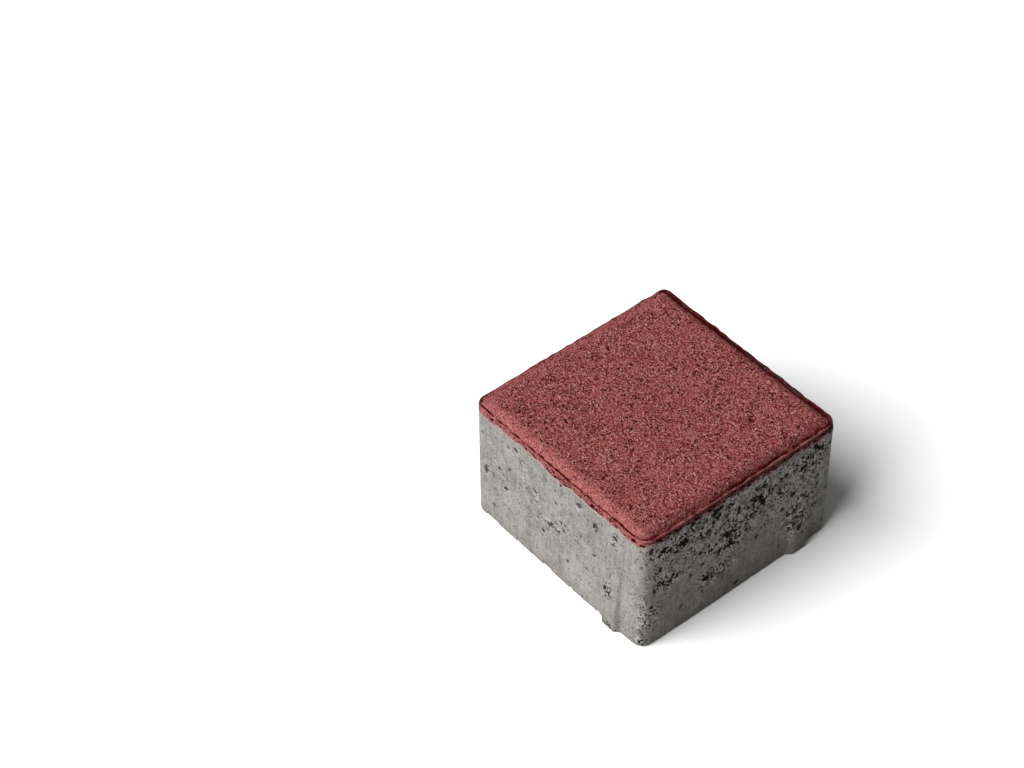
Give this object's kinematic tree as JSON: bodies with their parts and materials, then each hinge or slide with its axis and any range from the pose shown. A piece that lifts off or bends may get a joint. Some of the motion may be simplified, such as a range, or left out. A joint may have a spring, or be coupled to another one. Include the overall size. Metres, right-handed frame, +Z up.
{
  "type": "concrete paving stone",
  "caption": "Square two-layer concrete paving stone with a bevelled red wearing face, a pressing lip round it, and spacer nibs on its sides that set the joint when it is laid.",
  "frame": {"origin": "middle of the bedding face, which lies on the ground", "axes": "+Z up to the wearing face, X and Y square to the sides"},
  "size_m": [0.101, 0.101, 0.06],
  "materials": {
    "grey_concrete": "pressed concrete, rough, with pits",
    "red_concrete": "pressed coloured concrete, fine sandy grain"
  },
  "bodies": {
    "root": {"backing_concrete": "grey_concrete", "coloured_facing": "red_concrete"}
  },
  "joints": []
}
